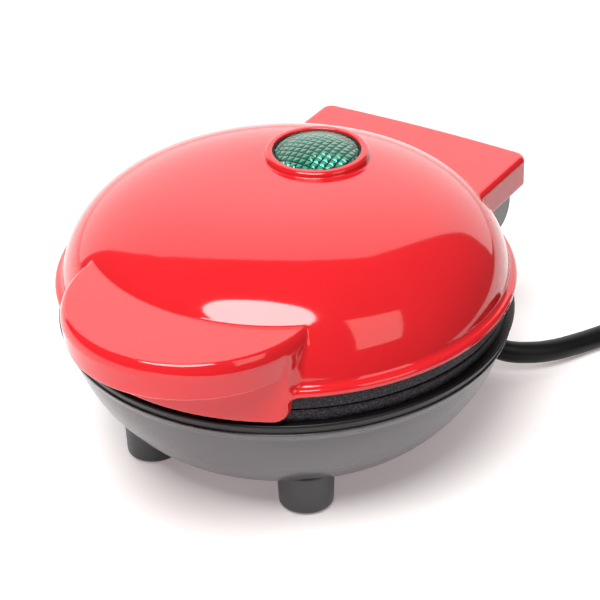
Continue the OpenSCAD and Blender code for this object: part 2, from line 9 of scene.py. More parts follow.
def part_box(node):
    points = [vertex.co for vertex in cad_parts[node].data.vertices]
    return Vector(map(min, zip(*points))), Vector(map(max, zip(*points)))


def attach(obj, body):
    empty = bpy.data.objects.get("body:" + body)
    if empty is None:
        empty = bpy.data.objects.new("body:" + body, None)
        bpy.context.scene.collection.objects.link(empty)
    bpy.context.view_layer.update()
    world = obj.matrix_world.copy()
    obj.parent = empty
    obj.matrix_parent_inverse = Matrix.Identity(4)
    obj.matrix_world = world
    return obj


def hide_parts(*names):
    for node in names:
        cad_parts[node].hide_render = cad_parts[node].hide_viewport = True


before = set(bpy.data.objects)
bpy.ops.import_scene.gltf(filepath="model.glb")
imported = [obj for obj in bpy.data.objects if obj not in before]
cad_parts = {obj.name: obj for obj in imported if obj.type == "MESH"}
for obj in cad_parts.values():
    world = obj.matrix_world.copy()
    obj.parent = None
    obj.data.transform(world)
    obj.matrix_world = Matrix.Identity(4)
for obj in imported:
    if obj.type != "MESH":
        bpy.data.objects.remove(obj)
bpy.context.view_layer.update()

mm = 0.001


# camera
view = {
    "place": (341.4, -538.3, 422.7),  # mm from the middle of the appliance, at floor level
    "right": (0.8539, 0.5201, -0.0205),
    "back": (0.4548, -0.7264, 0.5153),
    "lens": 160.9,
}


def makeCamera():
    data = bpy.data.cameras.new("stillCamera")
    data.lens = view["lens"]
    data.sensor_width = 36
    data.clip_start = 0.05
    data.clip_end = 30
    back = Vector(view["back"]).normalized()
    right = Vector(view["right"])
    right = (right - back * right.dot(back)).normalized()
    up = back.cross(right)
    turn = Matrix((right, up, back)).transposed().to_4x4()
    camera = bpy.data.objects.new("stillCamera", data)
    camera.matrix_world = Matrix.Translation(Vector(view["place"]) * mm) @ turn
    bpy.context.collection.objects.link(camera)
    bpy.context.scene.camera = camera


makeCamera()
print("camera set")


# small tools
def addNode(tree, kind, settings=None, links=None):
    # kind may also be a node that is there already; a setting is the value of an input, the stops of a
    # ramp or a property, and a link comes from a socket or from a node's first output
    made = tree.nodes.new(kind) if isinstance(kind, str) else kind
    for key, value in (settings or {}).items():
        if key == "stops":
            for element, (stop, colour) in zip(made.color_ramp.elements, value):
                element.position, element.color = stop, colour
        elif isinstance(key, int) or key in made.inputs.keys():
            made.inputs[key].default_value = value
        else:
            setattr(made, key, value)
    for key, source in (links or {}).items():
        socket = source.outputs[0] if isinstance(source, bpy.types.Node) else source
        tree.links.new(socket, made.inputs[key])
    return made


def hexColour(text, level=1.0):
    # sRGB hex to linear light; a level below 1 darkens it
    parts = [int(text[i:i + 2], 16) / 255 for i in (1, 3, 5)]
    linear = [c / 12.92 if c <= 0.04045 else ((c + 0.055) / 1.055) ** 2.4 for c in parts]
    return tuple(level * c for c in linear) + (1.0,)


def arcPoints(centre, radius, start, end, steps):
    angles = [math.radians(start + (end - start) * i / steps) for i in range(steps + 1)]
    return [(centre[0] + radius * math.cos(a), centre[1] + radius * math.sin(a)) for a in angles]


def finishMesh(work, name, creases=None):
    # closes a bmesh into a smooth mesh whose edges above the crease angle stay sharp
    bmesh.ops.recalc_face_normals(work, faces=work.faces)
    mesh = bpy.data.meshes.new(name)
    work.to_mesh(mesh)
    work.free()
    if creases:
        mesh.shade_smooth()
        mesh.set_sharp_from_angle(angle=math.radians(creases))
    return mesh


def joinRings(work, rings, around=True):
    # a band of quads from each ring of vertices to the next
    size = len(rings[0])
    for one, two in zip(rings, rings[1:]):
        for k in range(size if around else size - 1):
            m = (k + 1) % size
            work.faces.new((one[k], one[m], two[m], two[k]))


def place(name, data, body, material, replaced=()):
    piece = bpy.data.objects.new(name, data)
    bpy.context.collection.objects.link(piece)
    if material is not None:
        data.materials.append(material)
    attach(piece, body)
    if replaced:
        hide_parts(*replaced)
    return piece


def roundedProfile(corners, steps=4):
    # corners are (r, z) or (r, z, rounding); rounded corners become arcs
    points = []
    count = len(corners)
    for i, corner in enumerate(corners):
        here = Vector(corner[:2])
        rounding = corner[2] if len(corner) > 2 else 0
        if not rounding:
            points.append(tuple(here))
            continue
        before = (Vector(corners[i - 1][:2]) - here).normalized()
        after = (Vector(corners[(i + 1) % count][:2]) - here).normalized()
        half = before.angle(after) / 2
        reach = rounding / math.tan(half)
        middle = here + (before + after).normalized() * (rounding / math.sin(half))
        first = here + before * reach - middle
        last = here + after * reach - middle
        sweep = first.angle_signed(last)
        for k in range(steps + 1):
            turned = first.copy()
            turned.rotate(Matrix.Rotation(-sweep * k / steps, 2))
            points.append(tuple(middle + turned))
    return points


def lathe(name, profile, segments, centre=(0, 0)):
    # turns a closed profile of (r, z) points about a vertical axis
    work = bmesh.new()
    rings = []
    for i in range(segments):
        a = math.radians(360 * i / segments)
        ring = []
        for r, z in profile:
            at = ((centre[0] + r * math.cos(a)) * mm, (centre[1] + r * math.sin(a)) * mm, z * mm)
            ring.append(work.verts.new(at))
        rings.append(ring)
    joinRings(work, rings + rings[:1])
    bmesh.ops.remove_doubles(work, verts=work.verts, dist=1e-7)
    bmesh.ops.dissolve_degenerate(work, edges=work.edges, dist=1e-7)
    return finishMesh(work, name, 35)


# surfaces grown from a distance field, so that every joint has its moulded fillet
def hypot(a, b):
    return np.sqrt(a * a + b * b)


def filletUnion(a, b, r):
    return np.maximum(r, np.minimum(a, b)) - hypot(np.maximum(r - a, 0), np.maximum(r - b, 0))


def roundedSlab(a, b, r):
    # two distances to the sides of a corner, met with a rounded edge
    return np.minimum(np.maximum(a + r, b + r), 0) + hypot(np.maximum(a + r, 0), np.maximum(b + r, 0)) - r


def ovalSlab(a, b, wide, high, power=1.6):
    # like roundedSlab, with an oval edge that is flatter in its middle
    u, v = np.maximum(a + wide, 1e-6) / wide, np.maximum(b + high, 1e-6) / high
    k = (u ** power + v ** power) ** (1 / power)
    slope = k ** (1 - power) * hypot(u ** (power - 1) / wide, v ** (power - 1) / high)
    return np.where((a > -wide) | (b > -high), (k - 1) / slope, np.maximum(a, b))


def fieldSlope(field, points, h=0.02):
    parts = []
    for axis in range(3):
        step = np.zeros(3)
        step[axis] = h
        parts.append(field(*(points + step).T) - field(*(points - step).T))
    return np.stack(parts, 1) / (2 * h)


def meshFromField(name, field, low, high, step, relax=3):
    # one point for each cell that the surface crosses, evened out and then drawn back onto the surface
    axes = [np.arange(low[i], high[i] + step, step) for i in range(3)]
    size = [len(a) for a in axes]
    values = np.empty(size, np.float32)
    gridY, gridZ = np.meshgrid(axes[1], axes[2], indexing="ij")
    for i, x in enumerate(axes[0]):
        values[i] = field(np.full_like(gridY, x), gridY, gridZ)
    cells = [s - 1 for s in size]
    owners, spots, quads = [], [], []
    for axis in range(3):
        lower = [slice(None)] * 3
        upper = [slice(None)] * 3
        lower[axis] = slice(0, -1)
        upper[axis] = slice(1, None)
        a, b = values[tuple(lower)], values[tuple(upper)]
        found = np.argwhere((a < 0) != (b < 0))
        va, vb = a[tuple(found.T)], b[tuple(found.T)]
        spot = np.stack([axes[k][found[:, k]] for k in range(3)], 1)
        spot[:, axis] += step * va / (va - vb)
        others = [k for k in range(3) if k != axis]
        inner = np.all([(found[:, k] > 0) & (found[:, k] < size[k] - 1) for k in others], axis=0)
        found, spot, outward = found[inner], spot[inner], (va < 0)[inner]
        corners = []
        for da, db in ((-1, -1), (0, -1), (0, 0), (-1, 0)):
            cell = found.copy()
            cell[:, others[0]] += da
            cell[:, others[1]] += db
            corners.append((cell[:, 0] * cells[1] + cell[:, 1]) * cells[2] + cell[:, 2])
            owners.append(corners[-1])
            spots.append(spot)
        quad = np.stack(corners, 1)
        flip = outward if axis == 1 else ~outward
        quad[flip] = quad[flip][:, ::-1]
        quads.append(quad)
    owners, spots, quads = np.concatenate(owners), np.concatenate(spots), np.concatenate(quads)
    used, slotOf = np.unique(owners, return_inverse=True)
    count = np.bincount(slotOf, minlength=len(used))
    points = np.stack([np.bincount(slotOf, spots[:, k], len(used)) / count for k in range(3)], 1)
    quads = np.searchsorted(used, quads)
    pairs = np.concatenate([quads[:, [0, 1]], quads[:, [1, 2]], quads[:, [2, 3]], quads[:, [3, 0]]])
    near = np.maximum(np.bincount(pairs[:, 0], minlength=len(points)), 1)
    for turn in range(relax + 2):
        if turn < relax:
            total = [np.bincount(pairs[:, 0], points[pairs[:, 1], k], len(points)) for k in range(3)]
            points += 0.5 * (np.stack(total, 1) / near[:, None] - points)
        slope = fieldSlope(field, points)
        long = np.maximum(np.linalg.norm(slope, axis=1), 0.3)
        reach = np.clip(field(*points.T) / long, -step, step)
        points -= (reach / long)[:, None] * slope
    normals = fieldSlope(field, points)
    normals /= np.maximum(np.linalg.norm(normals, axis=1, keepdims=True), 1e-6)
    mesh = bpy.data.meshes.new(name)
    mesh.from_pydata((points * mm).tolist(), [], quads.tolist())
    mesh.update()
    mesh.shade_smooth()
    mesh.normals_split_custom_set_from_vertices(normals.tolist())
    return mesh


# sizes shared by several pieces, read from the frame
def boxMm(node):
    low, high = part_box(node)
    return [c / mm for c in low], [c / mm for c in high]


lidLow, lidHigh = boxMm("lid_cover")
ringLow, ringHigh = boxMm("base_ring")
plateHigh = boxMm("lower_cooking_plate")[1]
lensLow, lensHigh = boxMm("indicator_lens")
plugLow, plugHigh = boxMm("plug_body")
bladeLow, bladeHigh = boxMm("plug_blades")


# materials
def material(name):
    made = bpy.data.materials.new(name)
    made.use_nodes = True
    tree = made.node_tree
    return made, tree, tree.nodes["Principled BSDF"], tree.nodes.new("ShaderNodeTexCoord").outputs["Object"]


def mouldedPlastic(name, colour, shade, roughness, coat=0.0, peel=0.02, peelSize=4.0, grain=0.0,
                   specular=0.5):
    # colour drifts a little to shade as pigment does; peel is the soft waviness of the skin in mm
    made, tree, shader, at = material(name)
    drift = addNode(tree, "ShaderNodeTexNoise", {"Scale": 1 / (34 * mm), "Detail": 3.0}, {"Vector": at})
    tint = addNode(tree, "ShaderNodeValToRGB",
                   {"stops": ((0.35, hexColour(shade)), (0.7, hexColour(colour)))}, {"Fac": drift})
    smear = addNode(tree, "ShaderNodeTexNoise", {"Scale": 1 / (9 * mm), "Detail": 5.0, "Roughness": 0.6},
                    {"Vector": at})
    gloss = addNode(tree, "ShaderNodeMapRange", {"To Min": roughness * 0.85, "To Max": roughness * 1.2},
                    {"Value": smear})
    skin = addNode(tree, "ShaderNodeTexNoise", {"Scale": 1 / (peelSize * mm), "Detail": 1.0}, {"Vector": at})
    bump = addNode(tree, "ShaderNodeBump", {"Strength": 1.0, "Distance": peel * mm}, {"Height": skin})
    if grain:
        fine = addNode(tree, "ShaderNodeTexNoise", {"Scale": 1 / (0.35 * mm), "Detail": 3.0}, {"Vector": at})
        bump = addNode(tree, "ShaderNodeBump", {"Strength": 1.0, "Distance": grain * mm},
                       {"Height": fine, "Normal": bump})
    addNode(tree, shader, {"Specular IOR Level": specular, "Coat Weight": coat, "Coat Roughness": 0.03},
            {"Base Color": tint, "Roughness": gloss, "Normal": bump})
    return made


def workedMetal(name, colour, roughness, scratch=0.01, scratchSize=(0.15, 4.0, 4.0), stain=0.0,
                stainColour="#5A4A3C"):
    # scratchSize is the length of the tooling marks in mm on each axis
    made, tree, shader, at = material(name)
    stretch = addNode(tree, "ShaderNodeMapping", {"Scale": [1 / (s * mm) for s in scratchSize]},
                      {"Vector": at})
    marks = addNode(tree, "ShaderNodeTexNoise", {"Scale": 1.0, "Detail": 4.0}, {"Vector": stretch})
    gloss = addNode(tree, "ShaderNodeMapRange", {"To Min": roughness * 0.75, "To Max": roughness * 1.3},
                    {"Value": marks})
    bump = addNode(tree, "ShaderNodeBump", {"Strength": 1.0, "Distance": scratch * mm}, {"Height": marks})
    blot = addNode(tree, "ShaderNodeTexNoise", {"Scale": 1 / (14 * mm), "Detail": 4.0}, {"Vector": at})
    low = hexColour(stainColour) if stain else hexColour(colour, 0.88)
    tint = addNode(tree, "ShaderNodeValToRGB",
                   {"stops": ((0.3, low), (0.4 + 0.3 * stain, hexColour(colour)))}, {"Fac": blot})
    addNode(tree, shader, {"Metallic": 1.0}, {"Base Color": tint, "Roughness": gloss, "Normal": bump})
    return made


def nonstickCoating():
    # baked-on coating over cast aluminium: dark, with a soft sheen; its speckle is drawn coarser than it is
    # so that it shows
    made, tree, shader, at = material("bakedNonstickCoating")
    speck = addNode(tree, "ShaderNodeTexNoise", {"Scale": 1 / (0.55 * mm), "Detail": 3.0, "Roughness": 0.7},
                    {"Vector": at})
    tint = addNode(tree, "ShaderNodeValToRGB",
                   {"stops": ((0.48, hexColour("#08080A")), (0.66, hexColour("#49424F")))}, {"Fac": speck})
    cloud = addNode(tree, "ShaderNodeTexNoise", {"Scale": 1 / (6 * mm), "Detail": 3.0}, {"Vector": at})
    gloss = addNode(tree, "ShaderNodeMapRange", {"To Min": 0.34, "To Max": 0.5}, {"Value": cloud})
    bump = addNode(tree, "ShaderNodeBump", {"Strength": 1.0, "Distance": 0.03 * mm}, {"Height": speck})
    addNode(tree, shader, {"Specular IOR Level": 0.25},
            {"Base Color": tint, "Roughness": gloss, "Normal": bump})
    return made


def drawnGlass():
    # amber glass of the lamps, clear, with the faint waviness of drawn tube
    made, tree, shader, at = material("drawnAmberLampGlass")
    flow = addNode(tree, "ShaderNodeTexNoise", {"Scale": 1 / (5 * mm), "Detail": 2.0}, {"Vector": at})
    amber = "#E8A46A"
    tint = addNode(tree, "ShaderNodeValToRGB",
                   {"stops": ((0.0, hexColour(amber, 0.9)), (1.0, hexColour(amber)))}, {"Fac": flow})
    bump = addNode(tree, "ShaderNodeBump", {"Strength": 1.0, "Distance": 0.01 * mm}, {"Height": flow})
    addNode(tree, shader, {"Roughness": 0.05, "Transmission Weight": 1.0, "IOR": 1.5},
            {"Base Color": tint, "Normal": bump})
    return made


def prismaticLens():
    # moulded green acrylic: a field of small square prisms that glint one by one under a clear skin
    made, tree, shader, at = material("prismaticGreenAcrylic")
    spot = addNode(tree, "ShaderNodeSeparateXYZ", None, {"Vector": at})
    prism = 1.85             # width of a prism in mm
    waves = {}
    for i, axis in enumerate(("X", "Y")):
        cells = addNode(tree, "ShaderNodeMath", {"operation": "MULTIPLY", 1: 1 / (prism * mm)},
                        {0: spot.outputs[axis]})
        waves[i] = addNode(tree, "ShaderNodeMath", {"operation": "PINGPONG", 1: 0.5}, {0: cells})
    pyramid = addNode(tree, "ShaderNodeMath", {"operation": "MINIMUM"}, waves)
    # painted shade: the colour goes near-black along the low valleys between the prisms, where the grooves
    # would fall dark
    tint = addNode(tree, "ShaderNodeValToRGB",
                   {"stops": ((0.07, hexColour("#031F19")), (0.14, hexColour("#1C9272")))}, {"Fac": pyramid})
    bump = addNode(tree, "ShaderNodeBump", {"Strength": 1.0, "Distance": 0.9 * mm}, {"Height": pyramid})
    addNode(tree, shader, {"Roughness": 0.1, "Metallic": 0.6, "Coat Weight": 0.5, "Coat Roughness": 0.02},
            {"Base Color": tint, "Normal": bump})
    return made


def wovenTape():
    # dull charcoal ribbon whose crossing threads show close up
    made, tree, shader, at = material("wovenTieTape")
    thread = 0.974           # spacing of the threads in mm
    threads = {}
    for i, axis in enumerate(("X", "Z")):
        wave = addNode(tree, "ShaderNodeTexWave",
                       {"Scale": math.pi / 10 / (thread * mm), "bands_direction": axis}, {"Vector": at})
        threads[i] = wave.outputs["Fac"]
    weave = addNode(tree, "ShaderNodeMath", {"operation": "MULTIPLY"}, threads)
    charcoal = "#3A3A3D"
    tint = addNode(tree, "ShaderNodeValToRGB",
                   {"stops": ((0.0, hexColour(charcoal, 0.4)), (1.0, hexColour(charcoal)))}, {"Fac": weave})
    bump = addNode(tree, "ShaderNodeBump", {"Strength": 1.0, "Distance": 0.15 * mm}, {"Height": weave})
    addNode(tree, shader, {"Roughness": 0.85}, {"Base Color": tint, "Normal": bump})
    return made


# polished-mould red plastic: deep colour under a hard clear-looking gloss
redPlastic = mouldedPlastic("polishedRedPlastic", "#DB2027", "#D61D24", 0.08, coat=0.25, peel=0.012)
# semi-matt black of the ring between the plates and the bowl, which keeps the joint dark
phenolicBlack = mouldedPlastic("mouldedBlackPhenolic", "#0C0C0E", "#070708", 0.4, peel=0.01, specular=0.3)
# spark-textured black plastic of the hinge and the inner frame, softly matt
satinBlack = mouldedPlastic("sparkTexturedBlackPlastic", "#151516", "#101011", 0.42, grain=0.02)
# the bowl's dark grey, lightly glossy so that the table shows in it
greyBowlPlastic = mouldedPlastic("semiGlossGreyPlastic", "#504E52", "#4B494D", 0.21, peel=0.015, specular=0.7)
# unpolished grey of the feet, a little rougher than the bowl
greyFootPlastic = mouldedPlastic("mouldedGreyFootPlastic", "#424144", "#3B3A3D", 0.38, grain=0.01)
# uncoloured heatproof moulding, creamy and faintly satin
naturalPlastic = mouldedPlastic("naturalHeatproofPlastic", "#E9E6DC", "#DDD8CB", 0.4, grain=0.006)
# steatite ceramic of the thermostat and terminals, chalky
steatiteCeramic = mouldedPlastic("firedSteatiteCeramic", "#E4DCC8", "#D6CCB4", 0.62, grain=0.03)
# vulcanised rubber pads, dead matt
padRubber = mouldedPlastic("vulcanisedPadRubber", "#1B1B1C", "#141415", 0.75, grain=0.05)
# moulded rubber of the gasket, a dark line round the lens
gasketRubber = mouldedPlastic("mouldedGasketRubber", "#101212", "#0B0C0C", 0.5, grain=0.02)
# extruded PVC sheath with a satin skin
sheathVinyl = mouldedPlastic("extrudedVinylSheath", "#0B0B0C", "#08080A", 0.42, peel=0.03, peelSize=2.5,
                             grain=0.01, specular=0.25)
# braided glass sleeve of the inner wires, a dull brick red
glassSleeve = mouldedPlastic("braidedGlassSleeve", "#B9302A", "#9C241F", 0.7, grain=0.08)
nonstick = nonstickCoating()
# tube of the heating elements, straw and brown from the heat
elementSteel = workedMetal("heatStainedElementSteel", "#8F857A", 0.42, stain=0.8)
# rolled sheet of the heat shields, bright with long faint rolling lines
shieldMetal = workedMetal("rolledAluminisedSheet", "#C7CACC", 0.3, scratchSize=(0.4, 9.0, 9.0))
# plated screws, pale and clean
screwSteel = workedMetal("zincPlatedSteel", "#BFC3C8", 0.28, scratch=0.004)
# ground pin, with fine rings round it
pinSteel = workedMetal("groundPinSteel", "#B4B7BA", 0.24, scratchSize=(0.1, 6.0, 6.0))
# stamped blades, warm and polished along their length
bladeBrass = workedMetal("stampedBrass", "#C9A55A", 0.27, scratchSize=(0.2, 5.0, 0.2))
tieTape = wovenTape()
lensAcrylic = prismaticLens()
lampGlass = drawnGlass()
print("materials ready")


# cord, coil, plug: the cord comes first
cordForm = {
    "diameter": 6.3,
    "coilCentre": (110.4, 84),
    "coilStart": 130,        # polar angle where the cord joins the coil, degrees
    "coilOuter": 37.2,
    "coilInner": 30.8,
    "wound": 850,            # how far the coil is wound, degrees
    "inward": (300, 60),     # where the cord moves to the inner turn, and how long that takes, degrees
    "upward": (560, 80),     # the same for its roll up into the groove between the turns
    "groove": 60,            # how far it rolls round the outer turn to lie in that groove, degrees
    "route": [(37.3, 52.1, 7.7), (41, 53.5, 6.4), (43.5, 54.9, 5.9), (46, 57, 5.4),
              (49, 60, 4.9), (51, 62.8, 4.5), (52.9, 66, 4.1), (54.5, 69.2, 3.8), (56.1, 72.5, 3.5),
              (57.7, 75.8, 3.3), (59.4, 79.2, 3.2), (62, 84, 3.2), (66, 90.2, 3.2), (71, 97, 3.2),
              (76.5, 103.5, 3.2), (81.5, 108.7, 3.2)],
    "tail": [(144.4, 72, 9.1), (144.4, 64.7, 9.4), (144.4, 58, 9.0), (144.4, 51, 8.0)],
    "turnPoints": 24,
}


def coilPoint(turned):
    # turned is the angle wound so far: an outer turn and the start of an inner one lie flat, then the cord
    # rolls up into the groove between them
    outer, inner, rest = cordForm["coilOuter"], cordForm["coilInner"], cordForm["diameter"] / 2 + 0.03
    gap, lift = outer - inner, math.radians(cordForm["groove"])
    flat = turned <= cordForm["upward"][0]
    start, length = cordForm["inward"] if flat else cordForm["upward"]
    s = np.clip((turned - start) / length, 0, 1)
    s = s * s * (3 - 2 * s)
    if flat:
        r, z = outer - gap * s, rest
    else:
        r, z = outer - gap * math.cos(lift * s), rest + gap * math.sin(lift * s)
    a = math.radians(cordForm["coilStart"] - turned)
    return cordForm["coilCentre"][0] + r * math.cos(a), cordForm["coilCentre"][1] + r * math.sin(a), z


def makeCord():
    step, wound = 360 / cordForm["turnPoints"], cordForm["wound"]
    coil = [coilPoint(t) for t in np.arange(0, wound - step / 2, step)]
    points = cordForm["route"] + coil + [coilPoint(wound)] + cordForm["tail"]
    curve = bpy.data.curves.new("mainsCord", "CURVE")
    curve.dimensions = "3D"
    curve.bevel_depth = cordForm["diameter"] / 2 * mm
    curve.bevel_resolution = 8
    curve.resolution_u = 8
    curve.use_fill_caps = True
    spline = curve.splines.new("BEZIER")
    spline.bezier_points.add(len(points) - 1)
    for knot, at in zip(spline.bezier_points, points):
        knot.co = [c * mm for c in at]
        knot.handle_left_type = knot.handle_right_type = "AUTO"
    length = sum(math.dist(a, b) for a, b in zip(points, points[1:]))
    print("cord points", len(points), "length mm", round(length, 1))
    solids = ("power_cord", "cord_coil", "cord_tail")
    return place("mainsCord", curve, "base", sheathVinyl, solids), length


cord, cordLength = makeCord()


def addLoops(work, loops):
    # skins a list of equal closed loops of points and caps both ends
    rings = [[work.verts.new([c * mm for c in p]) for p in loop] for loop in loops]
    joinRings(work, rings)
    work.faces.new(list(reversed(rings[0])))
    work.faces.new(rings[-1])


def roundedOutline(halfWide, halfHigh, corner, steps=6):
    points = []
    for cx, cy, start in ((1, 1, 0), (-1, 1, 90), (-1, -1, 180), (1, -1, 270)):
        centre = (cx * (halfWide - corner), cy * (halfHigh - corner))
        points += arcPoints(centre, corner, start, start + 90, steps)
    return points


plugForm = {
    "bootLong": 12,
    "collar": 5.2,           # radius of the flexible boot where it meets the body
    "ribs": 5,
    # distance from the front, then how much the half width and half height shrink, and the corner radius
    "frontSections": [(0, 1.4, 1.4, 5.2), (0.4, 0.6, 0.6, 6.2), (1.3, 0, 0, 6.9), (6, 0, 0, 7.3),
                      (8, 0.5, 0.2, 7.2), (12, 1.1, 0.5, 6.9), (17, 0.9, 0.4, 7.0)],
    # the same, with the distance ahead of the boot
    "rearSections": [(4, 1.6, 0.6, 6.8), (1.6, 3.4, 1.3, 6.1), (0.3, 6, 2.1, 5.3), (0, 6.6, 2.4, 5.0)],
    "bladeThick": 1.5,
    "bladeHole": 1.6,
}


def makeBlades(x, z, root):
    blades = bmesh.new()
    tip, half = bladeLow[1], (bladeHigh[2] - bladeLow[2]) / 2
    # the lower edge of a blade, clipped at its tip; the upper one mirrors it
    lower = [(root, -half), (tip + 1.6, -half), (tip + 0.4, -half + 0.6), (tip, -half + 1.8)]
    outline = lower + [(y, -v) for y, v in reversed(lower)]
    hole = arcPoints((tip + 3.4, 0), plugForm["bladeHole"], 0, 345, 23)
    thick = plugForm["bladeThick"] / 2
    for side in (-1, 1):
        middle = x + side * ((bladeHigh[0] - bladeLow[0]) / 2 - thick)
        ends = []
        for face in (middle - thick, middle + thick):
            loops = [[blades.verts.new((face * mm, y * mm, (z + v) * mm)) for y, v in line]
                     for line in (outline, hole)]
            edges = [blades.edges.new((loop[i], loop[(i + 1) % len(loop)])) for loop in loops
                     for i in range(len(loop))]
            bmesh.ops.triangle_fill(blades, use_beauty=True, use_dissolve=False, edges=edges)
            ends.append(loops)
        for one, two in zip(*ends):
            joinRings(blades, [one, two])
    mesh = finishMesh(blades, "plugBlades")
    return place("plugBlades", mesh, "base", bladeBrass, ("plug_blades",))


def makePlug():
    form = plugForm
    x, z = (plugLow[0] + plugHigh[0]) / 2, (plugLow[2] + plugHigh[2]) / 2
    halfWide, halfHigh = (plugHigh[0] - plugLow[0]) / 2, (plugHigh[2] - plugLow[2]) / 2
    front, back = plugLow[1], plugHigh[1]
    bodyBack = back - form["bootLong"]
    sections = [(front + far, *rest) for far, *rest in form["frontSections"]]
    sections += [(bodyBack - far, *rest) for far, *rest in form["rearSections"]]
    work = bmesh.new()
    loops = []
    for y, thinner, lower, corner in sections:
        w, h = halfWide - thinner, halfHigh - lower
        loops.append([(x + u, y, z + v) for u, v in roundedOutline(w, h, min(corner, h - 0.01))])
    addLoops(work, loops)
    mesh = finishMesh(work, "plugBody", 40)
    body = place("plugBody", mesh, "base", sheathVinyl, ("plug_body",))
    # the boot is ringed so that it bends without kinking
    profile = [(3.3, bodyBack - 1)]
    thin, pitch = cordForm["diameter"] / 2, form["bootLong"] / form["ribs"]
    for i in range(form["ribs"]):
        y = bodyBack + pitch * i
        r = form["collar"] + (thin + 0.55 - form["collar"]) * i / form["ribs"]
        profile += [(r, y), (r, y + 1.5), (r - 0.7, y + 1.75), (r - 0.75, y + pitch - 0.25)]
    profile += [(thin + 0.3, back), (3.3, back)]
    mesh = lathe("plugBoot", profile, 48)
    turn = Matrix.Rotation(math.radians(-90), 4, "X")
    mesh.transform(Matrix.Translation(Vector((x, 0, z)) * mm) @ turn)
    boot = place("plugBoot", mesh, "base", sheathVinyl)
    return [body, boot, makeBlades(x, z, front + 0.2)]


plugPieces = makePlug()


def makeTie():
    # a flat ribbon bent into a rounded loop, its long edges slightly thinned
    low, high = boxMm("cord_tie")
    middle = [(low[i] + high[i]) / 2 for i in range(3)]
    half, halfThick = (high[0] - low[0]) / 2 - 0.1, 0.4
    path = roundedOutline((high[1] - low[1]) / 2 - halfThick, (high[2] - low[2]) / 2 - halfThick, 3.4, 8)
    face = [(-half, halfThick - 0.15), (-half + 0.2, halfThick), (half - 0.2, halfThick),
            (half, halfThick - 0.15)]
    work = bmesh.new()
    rows = []
    for side, away in face + [(side, -away) for side, away in reversed(face)]:
        row = []
        for i, p in enumerate(path):
            along = (Vector(path[(i + 1) % len(path)]) - Vector(path[i - 1])).normalized()
            out = Vector((along.y, -along.x)) * away
            at = (middle[0] + side, middle[1] + p[0] + out.x, middle[2] + p[1] + out.y)
            row.append(work.verts.new([c * mm for c in at]))
        rows.append(row)
    joinRings(work, rows + rows[:1])
    return place("cordTie", finishMesh(work, "cordTie", 40), "base", tieTape, ("cord_tie",))


tie = makeTie()

reliefForm = {
    "outlet": (20.5, 46, 14),
    "heading": 20,
    "drop": 19.5,
    "out": 19,               # where it ends, along the cord from the outlet
    "inside": 7,
    "ribs": 6,
    "ribStart": 7,
    "ribRadius": 4.7,
    "bore": 3.2,
    # a retaining disc inside, the neck in the wall and a collar outside
    "neck": [(5.6, -7), (5.6, -5.4), (4.5, -5.4), (4.5, 4.1), (5.2, 4.1), (5.4, 4.3), (5.4, 5.8), (5.2, 6),
             (4.3, 6), (4.3, 6.8)],
}


def outletTurn():
    turn = Matrix.Rotation(math.radians(reliefForm["heading"]), 4, "Z") @ \
        Matrix.Rotation(math.radians(90 + reliefForm["drop"]), 4, "Y")
    return Matrix.Translation(Vector(reliefForm["outlet"]) * mm) @ turn


def makeStrainRelief():
    form = reliefForm
    thin = cordForm["diameter"] / 2
    end, count = form["out"], form["ribs"]
    pitch = (end - form["ribStart"]) / count
    profile = [(form["bore"], -form["inside"])] + form["neck"]
    for i in range(count):
        z = form["ribStart"] + pitch * i
        r = form["ribRadius"] + (thin + 0.5 - form["ribRadius"]) * i / count
        profile += [(r - 0.12, z), (r, z + 0.15), (r - 0.02, z + 1.15), (r - 0.15, z + 1.3)]
        if i < count - 1:
            profile += [(r - 0.75, z + 1.35), (r - 0.78, z + pitch - 0.05)]
    profile += [(thin + 0.3, end), (form["bore"], end)]
    mesh = lathe("strainRelief", profile, 64)
    mesh.transform(outletTurn())
    return place("strainRelief", mesh, "base", satinBlack, ("strain_relief",))


makeStrainRelief()
print("cord made")


